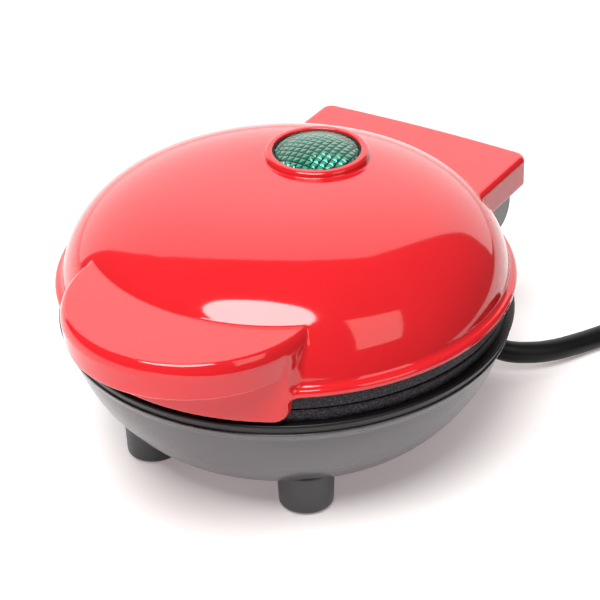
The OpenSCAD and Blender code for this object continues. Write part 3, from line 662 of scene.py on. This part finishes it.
# lid shell
lidForm = {
    "domeRadius": 61.7,
    "domeRise": 32.2,
    "domeBase": 45.05,
    "domePower": (2.98, 2.52),  # squareness of the dome's profile, across and up
    "wall": 2.4,
    "brimRadius": 63.5,
    "brimLow": 48.1,
    "brimHigh": 50.2,        # at its outer edge
    "brimSlope": 0.36,
    "brimFillet": 0.9,       # sweep from the brim up into the dome
    "handleCentre": 45.5,
    "handleLow": 54,
    "handleHigh": 64.7,
    "handleRadius": 34.0,    # at its lower edge
    "handleDraft": 0.12,     # growth of that radius for each mm of height
    "handleEdge": (2.3, 4.0),  # its upper edge is rounded to an oval, this wide and this high
    "handleFillet": 0.35,
    "tabHalf": 33.6,
    "tabEnd": 34.9,          # above the brim the tab ends in a round wall under the handle's own
    "tabRadius": 63.8,
    "tabLow": 40.9,
    "tabBack": -20,
    "tabCorner": 3.5,
    "tabFillet": 2.6,
    "coverHalf": 34.1,
    "coverBack": 80.5,
    "coverBow": 495,
    "coverFront": 40,
    "coverLow": 48.5,
    "coverHigh": 57.6,
    "coverCorner": 3.5,
    "coverRound": 1.8,
    "coverFillet": 1.2,
    "slotHalf": 31.3,
    "slot": (50, 78.2),      # front and back of the slot for the hinge
    "slotRoof": 2.3,         # thickness left above it
    "pocketRadius": 32.2,    # hollow of the handle
    "pocketBack": -50,
    "pocketTop": 62.3,
    "lensBack": 17.5,
    "lensWell": (16, 71.5),  # radius and underside of the thick spot that holds the lens
    "lensSeat": (14.2, 68.9, 74.4),  # radius, bottom and top of the recess for its flange
    "lensHoleLow": 73.3,
    "lipRadius": 14.4,
    "lipHigh": 78.9,
    "lipLow": 66,
    "lipBore": 12.2,
    "lipRound": 1.0,
    "flare": 0.03,           # growth of the collar's radius for each mm down
    "flareFillet": 0.5,
    "screwCircle": 56,
    "screwAngles": (30, 150, 270),
    "screwBore": 1.55,
    "bossRadius": 3.3,
    "bossLow": 53.2,
    "screwTop": 57.5,
    "step": 0.5,             # spacing of the grown surface
}


def domeField(r, z, radius, rise):
    form = lidForm
    across, up = form["domePower"]
    a = r / radius
    h = np.maximum(z - form["domeBase"], 0) / rise
    total = a ** across + h ** up + 1e-9
    size = total ** (1 / 3)
    slopeR = size / total / 3 * across * a ** (across - 1) / radius
    slopeZ = size / total / 3 * up * h ** (up - 1) / rise
    return (size - 1) / np.maximum(hypot(slopeR, slopeZ), 1e-3)


def boxField(x, y, halfX, halfY, corner):
    return roundedSlab(np.abs(x) - halfX, np.abs(y) - halfY, corner)


def lidField(x, y, z):
    form = lidForm
    r = hypot(x, y)
    rise = form["brimSlope"] * (form["brimRadius"] - 0.6 - r)
    brimTop = (z - form["brimHigh"] - rise) / math.hypot(1, form["brimSlope"])
    brim = roundedSlab(roundedSlab(r - form["brimRadius"], brimTop, 0.8), form["brimLow"] - z, 0.5)
    dome = domeField(r, z, form["domeRadius"], form["domeRise"])
    outer = np.maximum(filletUnion(dome, brim, form["brimFillet"]), form["brimLow"] - z)
    rh = hypot(x, y + form["handleCentre"])
    side = rh - form["handleRadius"] - form["handleDraft"] * (z - form["handleLow"])
    handle = ovalSlab(side, z - form["handleHigh"], *form["handleEdge"])
    handle = roundedSlab(handle, form["handleLow"] - z, 0.8)
    tabTop = form["handleLow"] + 4
    tabPlan = boxField(x, z - (tabTop + form["tabLow"]) / 2, form["tabHalf"], (tabTop - form["tabLow"]) / 2,
                       form["tabCorner"])
    tab = roundedSlab(r - form["tabRadius"], tabPlan, 0.7)
    tab = np.maximum(tab, np.minimum(form["tabRadius"] - 2.2 - r, form["brimLow"] - z))
    tab = np.maximum(tab, y - form["tabBack"])
    outer = filletUnion(outer, tab, form["tabFillet"])
    above = roundedSlab(r - form["tabRadius"], rh - form["tabEnd"], 0.5)
    above = np.maximum(roundedSlab(above, z - form["handleHigh"] + 2.4, 1.6), form["brimHigh"] - 0.6 - z)
    outer = filletUnion(outer, above, 1.0)
    below = (z < form["handleLow"] - 0.1) & (y < 30)
    outer = np.where(below, np.maximum(outer, r - form["tabRadius"]), outer)
    outer = filletUnion(outer, handle, form["handleFillet"])
    back = hypot(x, y - form["coverBack"] + form["coverBow"]) - form["coverBow"]
    plan = roundedSlab(np.abs(x) - form["coverHalf"], back, form["coverCorner"])
    cover = roundedSlab(plan, z - form["coverHigh"], form["coverRound"])
    cover = roundedSlab(cover, form["coverLow"] - z, 0.5)
    outer = filletUnion(outer, np.maximum(cover, form["coverFront"] - y), form["coverFillet"])
    rb = hypot(x, y - form["lensBack"])
    collar = (rb - form["lipRadius"] - form["flare"] * (form["lipHigh"] - z)) * 0.92
    collar = np.maximum(roundedSlab(collar, z - form["lipHigh"], form["lipRound"]), form["lipLow"] - z)
    outer = filletUnion(outer, collar, form["flareFillet"])
    # what is hollow: the shell, then the hinge slot, the handle's pocket, the lens seat and the screw holes
    inner = domeField(r, z, form["domeRadius"] - form["wall"], form["domeRise"] - form["wall"])
    inner = np.maximum(inner, -np.maximum(rb - form["lensWell"][0], form["lensWell"][1] - z))
    screws = np.full_like(r, 1e3)
    for angle in form["screwAngles"]:
        a = math.radians(angle)
        far = hypot(x - form["screwCircle"] * math.cos(a), y - form["screwCircle"] * math.sin(a))
        screws = np.minimum(screws, far)
    inner = np.maximum(inner, -np.maximum(screws - form["bossRadius"], form["bossLow"] - z))
    solid = np.maximum(outer, -inner)
    slotFront, slotBack = form["slot"]
    slot = boxField(x, y - (slotFront + slotBack) / 2, form["slotHalf"], (slotBack - slotFront) / 2, 0.8)
    slot = np.maximum(slot, z - form["coverHigh"] + form["slotRoof"])
    pocket = np.maximum(rh - form["pocketRadius"], form["tabRadius"] + 0.4 - r)
    pocket = np.maximum(pocket, np.maximum(y - form["pocketBack"], z - form["pocketTop"]))
    lensHole = np.maximum(rb - form["lipBore"], form["lensHoleLow"] - z)
    seat, seatLow, seatHigh = form["lensSeat"]
    flange = np.maximum(rb - seat, np.maximum(seatLow - z, z - seatHigh))
    solid = roundedSlab(solid, -lensHole, 0.35)
    for hollow in (slot, pocket, flange, np.maximum(screws - form["screwBore"], z - form["screwTop"])):
        solid = np.maximum(solid, -hollow)
    return solid


def growStep(form):
    return form["step"] * 1


def makeLid():
    low, high = [c - 1 for c in lidLow], [c + 1 for c in lidHigh]
    mesh = meshFromField("lidShell", lidField, low, high, growStep(lidForm))
    return place("lidShell", mesh, "lid", redPlastic, ("lid_cover",))


makeLid()
print("lid shell made")


# lens and its gasket
lensForm = {
    "radius": 11.7,
    "flange": 13.9,
    "crown": 2.8,
    "facet": 3.1,            # pitch of the prisms under the crown
    "facetDeep": 1.0,
    "flangeThick": 1.1,
    "wall": 1.6,
    "rings": 44,
    "segments": 144,
}


def makeLens():
    # a domed cap on a skirt; its underside is a grid of square prisms set on the diagonal
    form, back = lensForm, lidForm["lensBack"]
    radius, crown, segments = form["radius"], form["crown"], form["segments"]
    seat, top = lensLow[2] + form["flangeThick"], lensHigh[2]
    domeFoot = top - crown
    sphere = (radius ** 2 + crown ** 2) / (2 * crown)
    inside = radius - form["wall"]
    work = bmesh.new()

    def newVert(x, y, z):
        return work.verts.new((x * mm, (y + back) * mm, z * mm))

    def newRing(r, z):
        angles = [2 * math.pi * k / segments for k in range(segments)]
        return [newVert(r * math.cos(a), r * math.sin(a), z) for a in angles]

    def prismHeight(x, y):
        u, v = (x + y) / math.sqrt(2) / form["facet"], (x - y) / math.sqrt(2) / form["facet"]
        off = max(abs(u - round(u)), abs(v - round(v)))
        return domeFoot - 0.4 - form["facetDeep"] * (1 - 2 * off)

    rings = []
    for i in range(1, form["rings"] + 1):
        r = radius * i / form["rings"]
        edge = 0.25 * max(0, (r - radius + 0.5) / 0.5) ** 2
        rings.append(newRing(r, top - sphere + math.sqrt(sphere ** 2 - r ** 2) - edge))
    for r, z in ((radius, seat + 0.15), (form["flange"], seat), (form["flange"], lensLow[2]),
                 (inside, lensLow[2]), (inside, domeFoot - 0.6)):
        rings.append(newRing(r, z))
    peak = newVert(0, 0, top)
    for k in range(segments):
        work.faces.new((peak, rings[0][k], rings[0][(k + 1) % segments]))
    joinRings(work, rings)
    # prisms: a square grid, turned so that its lines fall on their edges, clipped to the circle in the skirt
    grid = form["facet"] / 6
    reach = int(inside / grid) + 2
    spots = {}
    for i in range(-reach, reach + 1):
        for j in range(-reach, reach + 1):
            px, py = grid * (i + j) / math.sqrt(2), grid * (j - i) / math.sqrt(2)
            if math.hypot(px, py) < inside - 0.15:
                spots[i, j] = newVert(px, py, prismHeight(px, py))
    for (i, j), a in spots.items():
        corner = [spots.get((i + 1, j)), spots.get((i + 1, j + 1)), spots.get((i, j + 1))]
        if all(corner):
            work.faces.new((a, corner[2], corner[1], corner[0]))
    work.normal_update()
    rim = [e for e in work.edges if e.is_boundary]
    bmesh.ops.bridge_loops(work, edges=rim)
    mesh = finishMesh(work, "indicatorLens", 18)
    return place("indicatorLens", mesh, "lid", lensAcrylic, ("indicator_lens",))


def makeGasket():
    low, high = boxMm("lens_gasket")
    inner, outer = lensForm["radius"] + 0.06, lidForm["lipBore"] - 0.06
    profile = roundedProfile([(inner, low[2]), (outer, low[2]), (outer, high[2], 0.2), (inner, high[2], 0.2)])
    mesh = lathe("lensGasket", profile, 96, (0, lidForm["lensBack"]))
    return place("lensGasket", mesh, "lid", gasketRubber, ("lens_gasket",))


makeLens()
makeGasket()
print("lens made")


# cooking plates
plateForm = {
    "cavity": 51,            # radius of the waffle
    "pan": 53.4,
    "panLow": 35.3,
    "floor": 37.7,
    "ceiling": 48.6,
    "studPitch": 12.6,
    "stud": 7.4,
    "studHigh": 3,
    "studDraft": 0.55,       # how much narrower each side of a stud is at its top
    "elementRadius": 33,
    "cradleHalf": 4.5,
    "cradleHigh": 3.4,
    "tube": 3.25,            # radius of the groove that the element sits in
    "notchBack": 58.5,
    "parting": 0.3,
    "post": (1.55, 3.1),     # bore and outer radius of the screw posts
    "groove": [(54.4, 0), (54.8, 0.5), (56.2, 0.5), (56.6, 0)],  # round the lower rim, as radius and depth
    "upperPanTop": 51,
    "lowerPosts": (42, (0, 90, 180, 270)),
    "upperPosts": (49, (45, 135, 225, 315)),
}


def studLoops(centre, base, top):
    half = plateForm["stud"] / 2
    rise = top - base
    rows = [(half + 0.5, -0.05, 1.6), (half + 0.18, 0.14, 1.4), (half, 0.45, 1.2),
            (half - plateForm["studDraft"], 0.84, 1.1), (half - plateForm["studDraft"] - 0.12, 0.94, 1.05),
            (half - plateForm["studDraft"] - 0.45, 1.0, 0.9)]
    return [[(centre[0] + u, centre[1] + v, base + rise * h) for u, v in roundedOutline(w, w, c, 3)]
            for w, h, c in rows]


def addMesh(work, mesh):
    work.from_mesh(mesh)
    bpy.data.meshes.remove(mesh)


def makePlate(name, profile, studBase, studTop, posts, postSpan, body, node):
    form = plateForm
    work = bmesh.new()
    addMesh(work, lathe(name + "Round", profile, 192))
    for vert in work.verts:
        if abs(vert.co.x) < lidForm["slotHalf"] * mm and vert.co.y > form["notchBack"] * mm:
            vert.co.y = form["notchBack"] * mm
    (low, high), (bore, wall) = postSpan, form["post"]
    circle, angles = posts
    for angle in angles:
        a = math.radians(angle)
        tube = roundedProfile([(bore, low), (wall, low, 0.3), (wall, high), (bore, high)])
        addMesh(work, lathe(name + "Post", tube, 32, (circle * math.cos(a), circle * math.sin(a))))
    pitch, reach = form["studPitch"], int(form["cavity"] / form["studPitch"])
    for i in range(-reach, reach + 1):
        for j in range(-reach, reach + 1):
            far = math.hypot(abs(i) * pitch + form["stud"] / 2, abs(j) * pitch + form["stud"] / 2)
            if far < form["cavity"] - 1.5:
                addLoops(work, studLoops((i * pitch, j * pitch), studBase, studTop))
    return place(name, finishMesh(work, name, 38), body, nonstick, (node,))


def cradleProfile(flat, side):
    # two ribs that hold the tubular element, with the groove it sits in; side is up or down, 1 or -1
    middle, half, tube = plateForm["elementRadius"], plateForm["cradleHalf"], plateForm["tube"]
    top = flat + side * plateForm["cradleHigh"]
    groove = arcPoints((middle, flat + side * tube), tube, 0, -180 * side, 12)
    return [(middle + half, top), *groove, (middle - half, top), (middle - half, flat)]


def makePlates():
    form = plateForm
    cavity, pan, rim = form["cavity"], form["pan"], plateHigh[0]
    cradle = form["elementRadius"] + form["cradleHalf"]
    low, high = ringHigh[2] + 0.03, plateHigh[2]
    floor, panLow = form["floor"], form["panLow"]
    lower = roundedProfile([(0, floor), (cavity - 0.4, floor, 0.7), (cavity + 0.2, high, 0.5),
                            *[(r, high - deep, 0.25) for r, deep in form["groove"]],
                            (rim, high, 0.5), (rim, low, 0.3), (pan, low), (pan, panLow, 0.8),
                            (cradle, panLow)])
    lower += cradleProfile(panLow, -1) + [(0, panLow)]
    makePlate("lowerWafflePlate", lower, floor, floor + form["studHigh"], form["lowerPosts"],
              (26.85, panLow + 0.4), "base", "lower_cooking_plate")
    meet, ceiling, panTop = high + form["parting"], form["ceiling"], form["upperPanTop"]
    flange = lidForm["brimLow"] - 0.05
    upper = roundedProfile([(0, ceiling), (cavity - 0.4, ceiling, 0.7), (cavity + 0.2, meet, 0.5),
                            (rim, meet, 0.5), (rim, flange, 0.3), (pan, flange), (pan, panTop, 0.8),
                            (cradle, panTop)])
    upper += cradleProfile(panTop, 1) + [(0, panTop)]
    makePlate("upperWafflePlate", upper, ceiling, ceiling - form["studHigh"], form["upperPosts"],
              (panTop - 0.4, panTop + 3.95), "lid", "upper_cooking_plate")


makePlates()
print("plates made")


# base: ring, bowl, feet
ringForm = {
    "bore": 54,
    "radius": 63.5,
    "lowRadius": 61.9,       # its side leans in towards the foot
    "tongue": (56.2, 58.1),
    "tongueDeep": 2.5,
    "segments": 240,
}


def makeRing():
    form, foot, top = ringForm, ringLow[2], ringHigh[2]
    low = foot + form["tongueDeep"]
    inner, outer = form["tongue"]
    profile = roundedProfile([(form["bore"], low), (inner, low), (inner, foot), (outer, foot), (outer, low),
                              (form["lowRadius"], low, 0.2), (form["radius"], top, 0.6),
                              (form["bore"], top, 0.4)], 6)
    # the ring stops short of the hinge: every point ends on the same two flat cuts
    work = bmesh.new()
    rows = []
    for i in range(form["segments"] + 1):
        row = []
        for r, z in profile:
            gap = math.asin(lidForm["slotHalf"] / r)
            a = math.pi / 2 + gap + (2 * math.pi - 2 * gap) * i / form["segments"]
            row.append(work.verts.new((r * math.cos(a) * mm, r * math.sin(a) * mm, z * mm)))
        rows.append(row)
    joinRings(work, rows)
    work.faces.new(list(reversed(rows[0])))
    work.faces.new(rows[-1])
    mesh = finishMesh(work, "baseRing", 40)
    return place("baseRing", mesh, "base", phenolicBlack, ("base_ring",))


makeRing()

bowlForm = {
    "arcCentre": (16.77, 45.35),
    "arcRadius": 45.62,
    "low": 9,
    "lip": 61.8,
    "wall": 2.2,
    "edge": 2.6,             # rounding between the underside and the side
    "feet": (24.9, 31.95),
    "pocket": 9.4,           # radius and top of the recess that takes a foot
    "pocketTop": 12.4,
    "footBoss": (11, 15),
    "footHole": (3.05, 16),   # takes the spigot of a foot
    "collar": 6,             # outlet of the cord
    "outletBoss": (6.4, -5),
    "outletBore": 4.6,
    "outletSpan": (-12, 8),  # along the cord, where the bore runs
    "postCircle": 42,        # four posts under the lower plate
    "postRadius": 4.6,
    "postTop": 26,
    "postBore": (1.7, 3.4),
    "postSink": 12,          # top of the sunk screw heads
    "hingeScrews": (22, 30.5),  # across and up, of the bosses that take the hinge block
    "hingeBoss": 3.6,
    "hingeBore": (1.7, 3.2),
    "hingeSink": (45, 52.5),  # depth of the screw heads, up to the face of the boss
    "hingeThrough": 50,
    "step": 0.5,
}
outletIn = np.array(outletTurn().inverted())


def bowlField(x, y, z):
    form = bowlForm
    r = hypot(x, y)
    top = ringLow[2] + ringForm["tongueDeep"]
    reach = hypot(np.maximum(r - form["arcCentre"][0], 0), np.minimum(z - form["arcCentre"][1], 0))
    side = reach - form["arcRadius"]
    lip = roundedSlab(r - form["lip"], top - 0.7 - z, 0.3)
    outer = roundedSlab(filletUnion(side, lip, 2.4), form["low"] - z, form["edge"])
    outer = roundedSlab(outer, z - top, 0.35)
    inner = np.maximum(side + form["wall"], form["low"] + form["wall"] - z)
    # distances in the outlet's own frame, whose axis is the cord's
    ox, oy, oz = [row[0] * x + row[1] * y + row[2] * z + row[3] / mm for row in outletIn[:3]]
    outlet = hypot(ox, oy)
    collar = roundedSlab(outlet - form["collar"], oz - 4, 0.7)
    outside = filletUnion(outer, np.maximum(collar, -4 - oz), 1.3)
    foot = hypot(np.abs(x) - form["feet"][0], np.abs(y) - form["feet"][1])
    circle = form["postCircle"]
    post = np.minimum(hypot(np.abs(x) - circle, y), hypot(x, np.abs(y) - circle))
    across, up = form["hingeScrews"]
    hinge = hypot(np.abs(x) - across, z - up)
    # thickenings that stand into the hollow
    (footBoss, footTop), (outletBoss, outletEnd) = form["footBoss"], form["outletBoss"]
    sinkFront, sinkBack = form["hingeSink"]
    for boss in (np.maximum(foot - footBoss, z - footTop), np.maximum(outlet - outletBoss, outletEnd - oz),
                 np.maximum(post - form["postRadius"], z - form["postTop"]),
                 np.maximum(hinge - form["hingeBoss"], sinkBack - y)):
        inner = np.maximum(inner, -boss)
    solid = np.maximum(outside, -inner)
    (postBore, postHead), (hingeBore, hingeHead) = form["postBore"], form["hingeBore"]
    (footHole, holeTop), (boreStart, boreEnd) = form["footHole"], form["outletSpan"]
    for hollow in (roundedSlab(foot - form["pocket"], z - form["pocketTop"], 0.5),
                   np.maximum(foot - footHole, z - holeTop), post - postBore,
                   np.maximum(post - postHead, z - form["postSink"]),
                   np.maximum(hinge - hingeBore, form["hingeThrough"] - y),
                   np.maximum(hinge - hingeHead, np.maximum(sinkFront - y, y - sinkBack)),
                   np.maximum(outlet - form["outletBore"], np.maximum(boreStart - oz, oz - boreEnd))):
        solid = np.maximum(solid, -hollow)
    return solid


def makeBowl():
    low, high = boxMm("base_bowl")
    mesh = meshFromField("baseBowl", bowlField, [c - 1 for c in low], [c + 1 for c in high],
                         growStep(bowlForm))
    return place("baseBowl", mesh, "base", greyBowlPlastic, ("base_bowl",))


makeBowl()
print("bowl made")

footForm = {
    "radius": 7.47,
    "flare": 0.5,            # how much wider it is where it enters the bowl
    "floor": 0.5,
    "top": 12.4,
    "spigot": [(3, 12.4), (3, 15), (4.2, 15, 0.3), (4.2, 16.4, 0.5), (0, 16.4)],  # snaps into the bowl
    "pad": 5.2,
    "padThick": 1.4,
    "padTread": [(0, 0.35), (1.6, 0.35), (1.8, 0), (2.6, 0), (2.8, 0.35), (3.4, 0.35), (3.6, 0)],
}


def makeFeet():
    form = footForm
    radius, floor, thick, pad = form["radius"], form["floor"], form["padThick"], form["pad"]
    profile = roundedProfile([(0, thick), (pad + 0.1, thick), (pad + 0.1, floor), (radius, floor, 1.0),
                              (radius + form["flare"], form["top"], 0.7), *form["spigot"]])
    padSide = roundedProfile([(3.6, 0), (pad, 0, 0.35), (pad, thick), (0, thick)])
    padProfile = form["padTread"] + padSide[1:]
    across, along = bowlForm["feet"]
    pads = bmesh.new()
    for end, sy in (("front", -1), ("rear", 1)):
        for side, sx in (("left", -1), ("right", 1)):
            centre = (sx * across, sy * along)
            name = "baseFoot" + end.capitalize() + side.capitalize()
            place(name, lathe(name, profile, 72, centre), "base", greyFootPlastic,
                  ("foot_" + end + "_" + side,))
            addMesh(pads, lathe("footPad", padProfile, 48, centre))
    place("footPads", finishMesh(pads, "footPads", 35), "base", padRubber, ("foot_pads",))


makeFeet()
print("feet made")


# carried-over parts get their finish
finishes = {
    "handle_underplate": redPlastic,
    "lamp_holder": naturalPlastic,
    "indicator_lamps": lampGlass,
    "lid_frame": satinBlack,
    "upper_heating_element": elementSteel,
    "lower_heating_element": elementSteel,
    "upper_heat_shield": shieldMetal,
    "lower_heat_shield": shieldMetal,
    "upper_plate_screws": screwSteel,
    "cover_screws": screwSteel,
    "hinge_screws": screwSteel,
    "base_screws": screwSteel,
    "hinge_block": greyBowlPlastic,
    "hinge_pin": pinSteel,
    "thermostat": steatiteCeramic,
    "terminal_block": steatiteCeramic,
    "thermal_fuse": steatiteCeramic,
    "internal_wires": glassSleeve,
}


def finishNodes():
    for node, finish in finishes.items():
        carried = bpy.data.objects[node]
        if not carried.material_slots:
            carried.data.materials.append(finish)
        for slot in carried.material_slots:
            slot.link = "OBJECT"
            slot.material = finish


finishNodes()
print("finishes set")


# floor and light
lightForm = {
    "floorColour": "#F4F3F1",
    "tableGlow": ("#FFECEE", 0.26),  # the table is a translucent board lit from below
    "tableRight": 0.2,       # where the board ends on the right, in metres
    "room": 0.13,
    "wallBack": 3.0,
    "wallOutline": [(-18, -0.06), (0.9, -0.06), (0.84, 0.63), (0.54, 1.5), (0.27, 3.03), (-0.06, 4.68),
                    (-0.66, 5.46), (-5.34, 8.94), (-9.9, 11.58), (-14.4, 11.58), (-16.2, 7.38), (-18, 3.18)],
    "wallGlow": 1.5,
    "windowRight": 3.0,
    "windowCorners": [(-1.0, 4.15), (0.65, 2.65), (-0.05, 0.65), (-1.35, 0.85)],
    "windowGlow": 2.2,
    "softboxAt": (0.11, -0.74, 1.5),
    "softboxSize": (1.28, 1.04),
    "softboxRadiance": 9.6,  # its brightness in a reflection
}


def stageCard(name, corners, finish):
    mesh = bpy.data.meshes.new(name)
    mesh.from_pydata(corners, [], [list(range(len(corners)))])
    mesh.materials.append(finish)
    card = bpy.data.objects.new(name, mesh)
    bpy.context.collection.objects.link(card)
    return card


def paintedBoard():
    # matt white board with a barely visible mottle, glowing a little so that its shadows stay soft
    made, tree, shader, at = material("paintedStudioBoard")
    colour, (glowColour, glow) = lightForm["floorColour"], lightForm["tableGlow"]
    mottle = addNode(tree, "ShaderNodeTexNoise", {"Scale": 1 / (83 * mm), "Detail": 3.0}, {"Vector": at})
    tint = addNode(tree, "ShaderNodeValToRGB",
                   {"stops": ((0.0, hexColour(colour, 0.985)), (1.0, hexColour(colour)))}, {"Fac": mottle})
    addNode(tree, shader, {"Emission Color": hexColour(glowColour), "Emission Strength": glow,
                           "Roughness": 0.6}, {"Base Color": tint})
    return made


def litCard(title, glow, shade, colour):
    # evenly lit paper or glass, a shade deeper in places
    made, tree, shader, at = material(title)
    cloud = addNode(tree, "ShaderNodeTexNoise", {"Scale": 1 / (830 * mm), "Detail": 2.0}, {"Vector": at})
    tint = addNode(tree, "ShaderNodeValToRGB",
                   {"stops": ((0.0, hexColour(shade)), (1.0, hexColour(colour)))}, {"Fac": cloud})
    addNode(tree, shader, {"Base Color": hexColour("#808080"), "Emission Strength": glow},
            {"Emission Color": tint})
    return made


def makeStage():
    half, right = 18, lightForm["tableRight"]
    stageCard("studioFloor", [(-half, -half, 0), (right, -half, 0), (right, half, 0), (-half, half, 0)],
              paintedBoard())
    # a white wall that rises to the left behind the appliance, and a window far to the right
    stageCard("paperWall", [(x, lightForm["wallBack"], z) for x, z in lightForm["wallOutline"]],
              litCard("litPaperWall", lightForm["wallGlow"], "#FBFAF8", "#FFFFFF"))
    pane = stageCard("sideWindow", [(lightForm["windowRight"], y, z) for y, z in lightForm["windowCorners"]],
                     litCard("litWindowPane", lightForm["windowGlow"], "#FFF0E2", "#FFF6EE"))
    pane.visible_diffuse = False  # too far and dim to light the table, it only shows in the gloss


def makeLights():
    world = bpy.data.worlds.new("studioRoom")
    bpy.context.scene.world = world
    world.use_nodes = True
    tree = world.node_tree
    # the room is dim for the light and pale where it shows beyond the table
    seen = addNode(tree, "ShaderNodeLightPath")
    level = addNode(tree, "ShaderNodeMapRange", {"To Min": lightForm["room"], "To Max": 1.0},
                    {"Value": seen.outputs["Is Camera Ray"]})
    addNode(tree, tree.nodes["Background"], {"Color": hexColour("#FFFFFF")}, {"Strength": level})
    # a round softbox above and in front, facing straight down
    data = bpy.data.lights.new("softbox", "AREA")
    data.shape = "ELLIPSE"
    data.size, data.size_y = lightForm["softboxSize"]
    data.energy = lightForm["softboxRadiance"] * math.pi * data.size * data.size_y
    lamp = bpy.data.objects.new("softbox", data)
    lamp.location = lightForm["softboxAt"]
    bpy.context.collection.objects.link(lamp)


makeStage()
makeLights()
print("stage and light set")
bpy.context.scene.view_settings.view_transform = "Standard"
